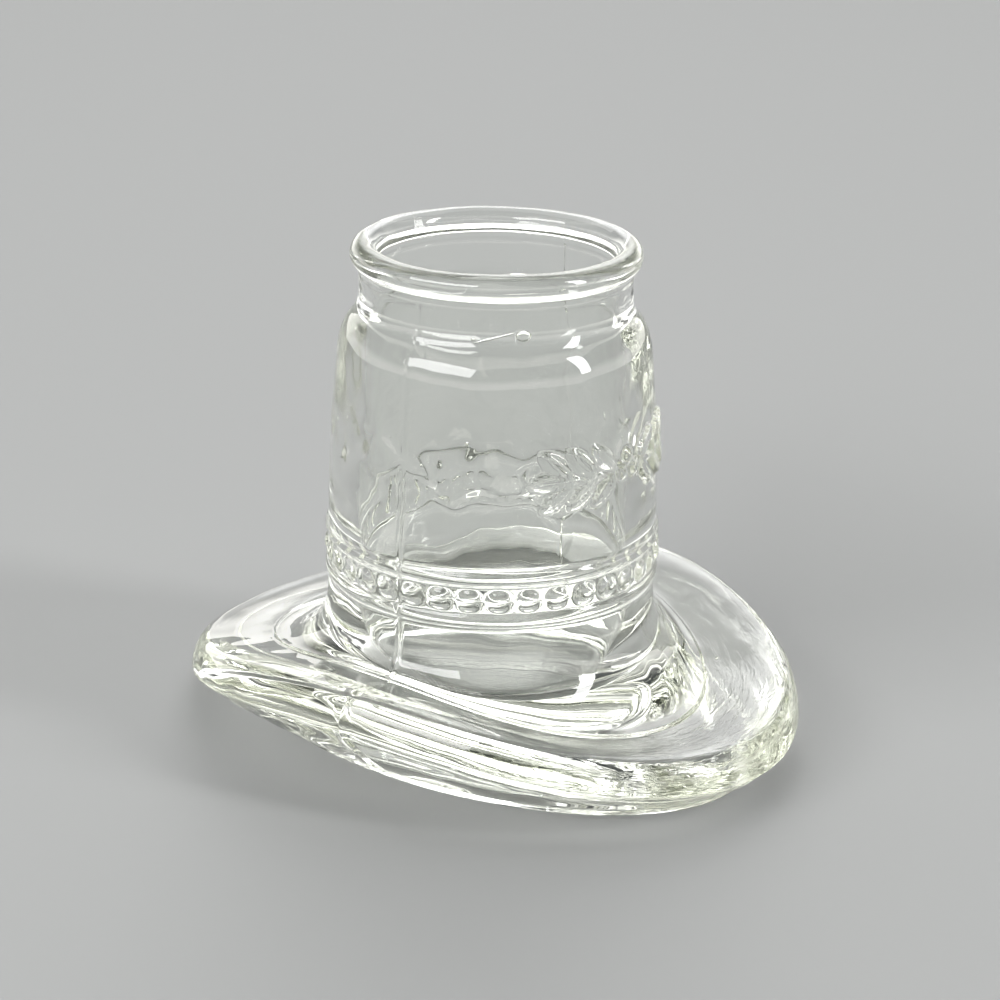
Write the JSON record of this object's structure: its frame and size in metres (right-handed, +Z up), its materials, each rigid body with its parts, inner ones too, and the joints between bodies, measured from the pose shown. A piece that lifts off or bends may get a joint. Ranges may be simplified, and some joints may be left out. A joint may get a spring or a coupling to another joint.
{
  "type": "glass hat container",
  "caption": "Clear moulded glass hat standing on its brim, with a tall open crown, rolled lip, beaded band and upturned oval brim; holds small things.",
  "frame": {"origin": "centre of the foot's oval, on the surface that the hat stands on", "axes": "+Z up through the open mouth, -Y towards the front of the hat, so Y runs along the length of the brim and X across its upturned sides"},
  "size_m": [0.0706, 0.0874, 0.0657],
  "materials": {
    "clear_glass": "fire-polished clear soda-lime glass with a faint grey-green tint in thick sections"
  },
  "bodies": {
    "root": {"lip": "clear_glass", "neck": "clear_glass", "shoulder": "clear_glass", "crown_wall": "clear_glass", "hat_band": "clear_glass", "upper_band_ridge": "clear_glass", "lower_band_ridge": "clear_glass", "band_beads": "clear_glass", "cavity_floor": "clear_glass", "skirt": "clear_glass", "brim": "clear_glass", "foot_rim": "clear_glass"}
  },
  "joints": []
}
